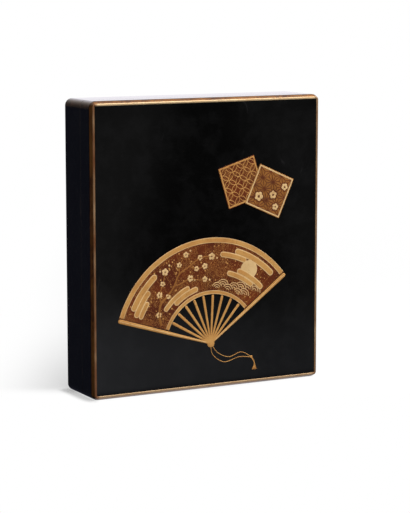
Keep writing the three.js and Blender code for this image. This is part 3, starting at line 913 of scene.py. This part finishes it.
def hempLeaf(size, ground):
    # Triangles with their middles joined to their corners. Lines that cross the side are cut there.
    columns, rows = lattice["columns"], lattice["rows"]
    lines = np.array([
        (0, 0, 1, 0), (0, 0, 0.5, 1), (1, 0, 0.5, 1), (0.5, 1 / 3, 0, 0), (0.5, 1 / 3, 1, 0),
        (0.5, 1 / 3, 0.5, 1), (1, 2 / 3, 0.5, 1), (1, 2 / 3, 1.5, 1), (1, 2 / 3, 1, 0)])
    c, r = np.meshgrid(np.arange(-1, columns + 1), np.arange(rows), indexing="ij")
    cell = np.stack([c + 0.5 * (r % 2), r] * 2, axis=-1).reshape(-1, 4)
    ends = (cell[None] + lines[:, None]).reshape(-1, 4)
    middle = (ends[:, 0] + ends[:, 2]) / 2
    ends = ends[(middle > -0.01) & (middle < columns + 0.01)]
    ends[:, [0, 2]] = np.clip(ends[:, [0, 2]], 0, columns)
    ends = ends * (2 * size / np.array([columns, rows] * 2)) - size
    share = lattice["inset"] + (1 - 2 * lattice["inset"]) * crowded(12)[None, :, None]
    return ridges(ends[:, None, :2] * (1 - share) + ends[:, None, 2:] * share, ground, *lattice["line"])


def joinedCircles(size, ground):
    # Each cell of a checkerboard holds two quarter circles, which make a petal along its diagonal
    count = circles["count"]
    c, r = (v.reshape(-1) for v in np.meshgrid(np.arange(count), np.arange(count), indexing="ij"))
    turn = np.radians(circles["turn"][0] + circles["turn"][1] * crowded(16))
    u, v = np.cos(turn), np.sin(turn)
    even = ((c + r) % 2 == 0)[:, None]
    first = np.stack([np.where(even, u, 1 - u), np.broadcast_to(v, (len(c), 16))], axis=-1)
    second = np.stack([np.where(even, 1 - v, v), np.broadcast_to(1 - u, (len(c), 16))], axis=-1)
    lines = np.concatenate([first, second]) + np.tile(np.stack([c, r], axis=1), (2, 1))[:, None]
    return ridges(lines * (2 * size / count) - size, ground, *circles["line"])


def cardPair():
    # Parts are made about a card's middle, then turned and moved to its place
    inner = cards["side"] / 2 - cards["border"][1]
    front, back = level(cards["frontRise"]), level(cards["backRise"])
    brown = [hempLeaf(inner, front)] + [tapered(*run, front) for run in sprig["runs"]]
    pale = []
    for x, y, radius, turn in sprig["blossoms"]:
        petals, heart = blossom(x, y, radius, turn, front, sprig["rise"])
        pale.append(petals)
        brown += [blossom(x, y, radius + sprig["under"], turn, front, sprig["underRise"])[0], heart]
    pale.append(cardBorder(cards["frontRise"]))
    circled = [joinedCircles(inner, back), cardBorder(cards["backRise"])]
    for name, parts, finish, stands in (
            ("card_front_ground", [cardSlab(cards["frontRise"])], oldGold, ["card_front"]),
            ("card_front_lattice", brown, brownLacquer, []),
            ("card_front_blossoms", pale, paleGold, []),
            ("card_back_ground", [cardSlab(cards["backRise"])], redBrown, ["card_back"]),
            ("card_back_circles", circled, gold, [])):
        place = cards[name.split("_")[1]]
        addPiece(name, [moved(part, **place) for part in parts], [finish], "lid", stands)


cardPair()
print("lid: cards")

# Body: base and side walls as one skin, black outside and flecked inside, and the lip with a gilt top
bodyRim = lying("body_wall_left")[1][2]
baseTop = lying("base_board")[1][2]
lipLow, lipHigh = lying("lip_left")
lipOuter, lipInner = lipLow[0] + halfWidth, lipHigh[0] + halfWidth
body = {"footRound": 1.0, "rimRound": 0.25, "field": 6, "joint": 0.05, "zones": ((3.5, 9, 1),),
        "lipRound": 0.7, "lipCorner": 1.4, "lipZones": ((0.9, 2.1, 1),)}


def bodyPieces():
    # The skin from under the base over the rim and down inside, and the lip as a closed ring
    profile = rounded([
        (body["field"], 0, 0),
        (0, 0, body["footRound"]),
        (0, bodyRim, body["rimRound"]),
        (lipOuter - body["joint"], bodyRim, 0),
        (lipOuter - body["joint"], baseTop, 0),
        (lipOuter + body["field"], baseTop, 0),
    ])
    skin = shell(profile, halfWidth, halfLength, cornerRadius, body["zones"], worn=(1, 2))
    addPiece("body_shell", [skin], [black, flecked], "box", ["base_board"] + fourSides("body_wall_"),
             weld=False, crease=34)
    profile = rounded([(lipOuter, lipLow[2], 0), (lipOuter, lipHigh[2], body["lipRound"]),
                       (lipInner, lipHigh[2], body["lipRound"]), (lipInner, lipLow[2], 0)])
    lip = shell(profile, halfWidth, halfLength, lipInner + body["lipCorner"], body["lipZones"], closed=True)
    addPiece("lip_ring", [lip], [flecked, gold], "box", fourSides("lip_"), weld=False, crease=34)


bodyPieces()
print("body: shell and lip")

# Trays: finish 1 is flecked, inside, and finish 2 gold, on the rim
tray = {"outerCorner": 1.6, "footRound": 0.7, "rimRound": 0.6, "insideRound": 1.2, "field": 3,
        "zones": ((1.9, 3.1, 2), (3.1, 9, 1))}


def longTray(name):
    # One skin from under the floor over the rim and down inside
    low, high = lying(name + "_floor")
    wallHigh = lying(name + "_wall_left")[1]
    wall, rim = wallHigh[0] - low[0], wallHigh[2]
    halfX, halfY, _ = halves(low, high)
    profile = rounded([
        (tray["field"], low[2], 0), (0, low[2], tray["footRound"]), (0, rim, tray["rimRound"]),
        (wall, rim, tray["rimRound"]), (wall, high[2], tray["insideRound"]),
        (wall + tray["field"], high[2], 0)], steps=4)
    part = shell(profile, halfX, halfY, wall + tray["outerCorner"], tray["zones"], worn=(2,))
    addPiece(name, [moved(part, (high[0] + low[0]) / 2)], [black, flecked, gold], name,
             [name + "_floor"] + fourSides(name + "_wall_"), weld=False, crease=34)


# Board that the blocks stand in, and the gilt beads round its holes: solid and corner radius of each block
board = {"round": 0.7, "segments": 4, "roundedOver": 40, "weld": 1e-6,
         "holes": (("inkstone", 4), ("dropper_cup", 3)),
         "line": {"inset": -2.2, "width": 1.0, "rise": 0.3, "steps": 7}}


def inkBoard():
    # The board's own solid, its flat faces joined and its edges rounded, and the beads on it
    mesh = frame["nodes"]["inkstone_board"].data.copy()
    mesh.name = "ink_board"
    work = bmesh.new()
    work.from_mesh(mesh)
    bmesh.ops.remove_doubles(work, verts=work.verts, dist=board["weld"])
    bmesh.ops.dissolve_limit(work, angle_limit=math.radians(1), verts=work.verts, edges=work.edges)
    work.to_mesh(mesh)
    work.free()
    mesh.materials.clear()
    mesh.materials.append(flecked.material)
    mesh.polygons.foreach_set("material_index", np.zeros(len(mesh.polygons), np.int32))
    mesh.polygons.foreach_set("use_smooth", np.ones(len(mesh.polygons), bool))
    piece = placed("ink_board", mesh)
    bevel = piece.modifiers.new("roundedEdges", "BEVEL")
    bevel.width = board["round"] / perMetre
    bevel.segments = board["segments"]
    bevel.limit_method = "ANGLE"
    bevel.angle_limit = math.radians(board["roundedOver"])
    bevel.harden_normals = True
    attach(piece, "ink_board")
    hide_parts("inkstone_board")
    profile = bead(top=lying("inkstone_board")[1][2], **board["line"])
    lines = []
    for node, corner in board["holes"]:
        halfX, halfY, middle = halves(*lying(node))
        lines.append(moved(shell(profile, halfX, halfY, corner, closed=True), 0, middle))
    addPiece("ink_board_lines", lines, [gold], "ink_board", weld=False)


# Inkstone: depths of the grinding face at its near and far end and of the pool, and how long pool and slope
# are. The hollow's wall starts a share of its width outside the rim.
stone = {"corner": 4, "rim": 6, "near": 2, "far": 4, "pool": 10, "poolLength": 30, "slope": 12, "edge": 1.4,
         "wall": 1.6, "wallOut": 0.4, "field": 5, "footRound": 0.8, "innerCorner": 2.4, "innerFrom": 5.5,
         "leastWear": 0.12}


def inkstone():
    # Loops from the foot over the rim to the middle line. Inside, each point goes down by its share of the
    # depth there: straight from near to far, then by a smooth step down the slope into the pool.
    low, high = lying("inkstone")
    halfX, halfY, middle = halves(low, high)
    top = high[2]
    brink = stone["rim"] - stone["wall"] * stone["wallOut"]
    outside = rounded([(stone["field"], low[2], 0), (0, low[2], stone["footRound"]), (0, top, stone["edge"]),
                       (brink, top, 0)])
    down = brink + stone["wall"] * crowded(9)[1:]
    flat = np.linspace(down[-1], halfX, 16)[1:]
    inset = np.concatenate([outside[:, 0], down, flat])
    share = np.concatenate([np.zeros(len(outside)), crowded(9)[1:], np.ones(len(flat))])[:, None]
    rim = np.concatenate([outside[:, 1], np.full(len(down) + len(flat), top)])[:, None]
    narrowing = np.where(inset < stone["innerFrom"], 1, (halfX - inset) / halfX)
    radius = np.maximum(stone["corner"] - inset, stone["innerCorner"] * narrowing)
    x, y = setIn(halfX, halfY, inset, np.minimum(radius, halfX - inset), 6, 40)
    near, far = -halfY + stone["rim"], halfY - stone["rim"]
    turn = far - stone["poolLength"] - stone["slope"]
    grind = stone["near"] + (stone["far"] - stone["near"]) * (y - near) / (turn - near)
    dip = np.clip((y - turn) / stone["slope"], 0, 1)
    dip = dip * dip * (3 - 2 * dip)
    depth = np.where(y > turn, stone["far"] + (stone["pool"] - stone["far"]) * dip, grind)
    wear = share * np.clip((y - turn) / stone["slope"], stone["leastWear"], 1)
    part = stacked(x, y, rim - share * depth, (0,), wear=wear)
    addPiece("ink_stone", [moved(part, 0, middle)], [slate], "stone", ["inkstone"], crease=50)


# Water dropper: the dome starts at the brink, a share of its rise up. Collars ring its holes, each with a
# shallow dark plug in it that is painted shade for the hole's depth.
dropper = {"corner": 3, "cornerGrowth": 0.2, "field": 4, "footRound": 0.8, "shoulder": 1.6, "dome": 0.9,
           "brink": 3, "brinkUp": 0.75, "wornAt": 1.2, "wornDown": 4, "hole": 1.3, "spacing": 22,
           "collar": 0.5, "collarRound": 0.55, "collarSink": 0.05, "collarWear": 0.8, "around": 32,
           "steps": 10, "boreFoot": 0.3, "boreTop": 0.02, "boreOut": 0.2, "boreMiddle": 0.001}


def waterDropper():
    # Loops from the foot up the sides and over the dome, which falls with the square of the distance from
    # the middle line. A collar's section is an ellipse.
    d = dropper
    low, high = lying("dropper_cup")[0], lying("dropper_cover")[1]
    halfX, halfY, middle = halves(low, high)
    top = high[2] - d["collar"]
    brinkTop = d["dome"] * d["brinkUp"]
    upright = rounded([(d["field"], low[2], 0), (0, low[2], d["footRound"]),
                       (0, top - d["dome"], d["shoulder"]), (d["brink"], top - brinkTop, 0)])
    flat = np.linspace(d["brink"], halfY, 12)[1:]
    inset = np.append(upright[:, 0], flat)
    height = np.append(upright[:, 1], top - brinkTop * ((halfY - flat) / (halfY - d["brink"])) ** 2)
    radius = np.maximum(np.minimum(d["corner"] + inset * d["cornerGrowth"], halfY - inset), 0)
    worn = np.clip(1 - np.abs(inset - d["wornAt"]) / d["wornAt"], 0, 1) * (height > top - d["wornDown"])
    x, y = setIn(halfX, halfY, inset, radius, 8, 8)
    part = stacked(x, y, height[:, None], (0,), wear=worn[:, None])
    addPiece("water_dropper", [moved(part, 0, middle)], [copper, boreShade], "dropper",
             ["dropper_cup", "dropper_cover"], crease=50)
    a = np.radians(np.arange(d["around"]) * 360 / d["around"])
    s = np.radians(np.arange(d["steps"]) * 360 / d["steps"])[:, None]
    ring = d["hole"] + d["collarRound"] * (1 + np.cos(s))
    lift = top - d["collarSink"] + d["collar"] * np.sin(s)
    # The plug inside each collar: a thin dark disc, painted shade for the hole going down
    plug = np.array([[d["boreMiddle"]], [d["hole"] + d["boreOut"]]])[[0, 1, 1, 0]]
    up = top + np.array([[-d["boreFoot"]], [d["boreTop"]]])[[0, 0, 1, 1]]
    turned = ((ring, lift, {"closed": True, "wear": d["collarWear"]}),
              (plug, up, {"ends": (0, -1), "finish": 1}))
    collars = [stacked(x + out * np.cos(a), middle + out * np.sin(a), height, **how)
               for x in (-d["spacing"] / 2, d["spacing"] / 2) for out, height, how in turned]
    addPiece("dropper_collars", collars, [copper, boreShade], "dropper", weld=False, crease=50)


longTray("left_tray")
longTray("right_tray")
inkBoard()
inkstone()
waterDropper()
print("fittings: trays, board, stone and dropper")

# Studio: the photograph's camera, soft lamps, a pale floor, and the room that the lacquer mirrors
camera = {"turn": -28.01, "rise": 8.351, "distance": 1.5986, "right": 0.00855, "up": -0.01301,
          "lens": 132.578, "film": 36, "farthest": 50}


def placeCamera():
    # The eye looks along its turn and rise past the box's middle, from its distance, shifted right and up
    a, e = math.radians(camera["turn"]), math.radians(camera["rise"])
    back = np.array([math.sin(a) * math.cos(e), -math.cos(a) * math.cos(e), math.sin(e)])
    right = np.array([math.cos(a), math.sin(a), 0])
    up = np.cross(back, right)
    middle = (np.array(cadBounds[0]) + np.array(cadBounds[1])) / 2
    data = bpy.data.cameras.new("photoCamera")
    data.lens = camera["lens"]
    data.sensor_width = camera["film"]
    data.clip_end = camera["farthest"]
    eye = placed("photoCamera", data)
    eye.location = middle + camera["right"] * right + camera["up"] * up + camera["distance"] * back
    eye.rotation_euler = (math.radians(90) - e, 0, a)
    bpy.context.scene.camera = eye


lampsAim = (0, 0, 0.12)
lamps = {"keyRight": {"towards": (0.80, -0.42, 0.95), "distance": 2.2, "size": 2.0, "power": 36},
         "fillFront": {"towards": (0.10, -0.85, 0.50), "distance": 2.6, "size": 2.2, "power": 31}}


def placeLamps():
    # Each stands at its distance towards its side, and faces the box
    for name, lamp in lamps.items():
        towards = np.array(lamp["towards"]) / np.linalg.norm(lamp["towards"])
        data = bpy.data.lights.new(name, "AREA")
        data.size = lamp["size"]
        data.energy = lamp["power"]
        light = placed(name, data)
        light.location = np.array(lampsAim) + towards * lamp["distance"]
        light.rotation_euler = Vector(towards).to_track_quat("Z", "Y").to_euler()


# Floor, in metres. A mask's steps go along ways: away is the distance from the box's foot, toRight and
# toBack go with the camera, across and along with the lid's reflection, and aside is the distance from its
# middle. The camera sees the soft and foot masks as shadow, and the lacquer mirrors the others as light.
floorLook = {
    "radius": 7, "corners": 64, "white": 0.9, "grey": 0.45, "lift": (0.1, 0.8, 0.38, 0.1), "middle": 0.012,
    "soft": (("away", 0.15, 1.1, 0.62, 0), ("toBack", -0.05, -0.015), ("toRight", -0.1, 0.1, 1, 0.1),
             ("toRight", -0.2, -0.1)),
    "footShade": (("away", 0.002, 0.01, 0.65, 0), ("x", -0.107, -0.1, 1, 0.2)),
    "pool": (("along", 0.12, 0.68, 0.32, 0), ("across", -0.1, 0.1, 1.12, 0.58), ("aside", 0.14, 0.3, 1, 0.3)),
    "sides": (("aside", 0.05, 0.15, 0, 0.135), ("across", -0.1, 0.1, 1, 0.7), ("aside", 0.2, 0.35, 1, 0.3)),
    "beyond": (("x", 0.1, 0.2), ("y", -0.02, 0.05), ("away", 0.1, 1.2, 0.1, 0.45)),
    "nearFoot": (("away", 0.002, 0.006, 0.48, 0), ("x", -0.107, -0.103), ("y", -0.021, -0.018, 1, 0)),
    "atBack": (("slantX", -0.06, 0.15), ("slantY", -0.04, 0.15)), "back": (0.02, 0.9, 0.04, 0.36),
    "ahead": (-0.06, -0.03, 1, 0), "dim": (-0.06, -0.03, 0.014, 0.032),
    "near": (0.96, 0.98, 1.07), "far": (1.0, 0.99, 0.98), "blue": (0.9, 0.95, 1.5),
    "rear": (0.98, 0.98, 1.03)}


def placeFloor():
    # Seen straight it is white, but for a soft shadow behind and to the left and one at the foot. Mirrored
    # it is a pool of light before the box, darker in its middle and to the left.
    look = floorLook
    ring = np.radians(np.arange(look["corners"]) * 360 / look["corners"])
    rim = look["radius"] * np.stack([np.cos(ring), np.sin(ring), 0 * ring], axis=1)
    mesh = bpy.data.meshes.new("studioFloor")
    mesh.from_pydata(rim.tolist(), [], [list(range(look["corners"]))])
    f = Finish("studioFloor")
    x, y, _ = f.split(f.place())
    c, s = math.cos(math.radians(camera["turn"])), math.sin(math.radians(camera["turn"]))
    beside = (abs(x) - cadBounds[1][0]).orMore(0)
    behind = (abs(y) - cadBounds[1][1]).orMore(0)
    away = (beside * beside + behind * behind) ** 0.5
    toBack = y * c - x * s
    across, along = x * c - y * s, x * -s - y * c
    ways = {"x": x, "y": y, "away": away, "toRight": x * c + y * s, "toBack": toBack, "across": across,
            "along": along, "aside": abs(across + look["middle"]), "slantX": x + y * 0.4,
            "slantY": y - x * 0.66}
    soft, footShade, pool, sides, beyond, nearFoot, atBack = (f.mask(ways, look[name]) for name in (
        "soft", "footShade", "pool", "sides", "beyond", "nearFoot", "atBack"))
    share = soft + footShade * (1 - soft)
    matt = f.node("BsdfDiffuse", None, {"Color": (look["white"],) * 3})
    plain = f.node("Emission", None, {"Strength": 1 + share * f.ease(toBack, *look["lift"])})
    seen = f.node("MixShader", None, {0: share, 1: plain, 2: matt})
    glow = (f.ease(y, *look["ahead"]) * (pool + sides) + beyond + atBack * f.ease(away, *look["back"])
            + nearFoot + f.ease(y, *look["dim"]))
    tint = f.over(look["near"], (f.ease(along, 0.1, 0.7), look["far"]),
                  (f.ease(y, -0.02, -0.01), look["blue"]), (atBack, look["rear"]))
    mirrored = f.node("Emission", None, {"Strength": glow, "Color": tint})
    grey = f.node("BsdfDiffuse", None, {"Color": (look["grey"],) * 3})
    path = f.node("LightPath", None, None, "Is Camera Ray")
    other = f.node("MixShader", None, {0: path.out("Is Glossy Ray"), 1: grey, 2: mirrored})
    f.show(f.node("MixShader", None, {0: path, 1: other, 2: seen}))
    mesh.materials.append(f.material)
    placed("studioFloor", mesh)


# Room: its even light, and what the lacquer mirrors of it, which is the sky overhead and a pale panel behind
worldLook = {"ambient": 0.34, "overhead": (0.5, 0.95, 0.06, 0.92), "panel": (0.58, 0.96, 0.0, 1.22),
             "panelTowards": (0.46, 0.88, 0.06), "warm": (0.93, 0.86, 0.78), "cool": (0.97, 0.94, 1.0)}


def placeWorld():
    # White to the camera, the mirrored room to glossy rays, and the even light to all others
    look = worldLook
    world = bpy.data.worlds.new("studioWorld")
    bpy.context.scene.world = world
    f = Finish("studioWorld", holder=world)
    towards = f.node("TexCoord", None, None, "Generated")
    height = f.split(towards)[2]
    path = f.node("LightPath", None, None, "Is Camera Ray")
    glossy = path.out("Is Glossy Ray")
    panel = np.array(look["panelTowards"]) / np.linalg.norm(look["panelTowards"])
    facing = f.node("VectorMath", {"operation": "DOT_PRODUCT"}, {0: towards, 1: tuple(panel)}, "Value")
    mirrored = f.ease(height, *look["overhead"]) + f.ease(facing, *look["panel"])
    tint = f.blend(f.ease(facing, 0.75, 0.96), look["warm"], look["cool"])
    light = glossy * (mirrored - look["ambient"]) + look["ambient"]
    f.show(f.node("Background", None, {"Color": f.blend(glossy, (1, 1, 1), tint),
                                       "Strength": path + (1 - path) * light}), "OutputWorld")


placeCamera()
placeLamps()
placeFloor()
placeWorld()
bpy.context.scene.view_settings.view_transform = "Standard"
print("studio: camera, lamps, floor and world")
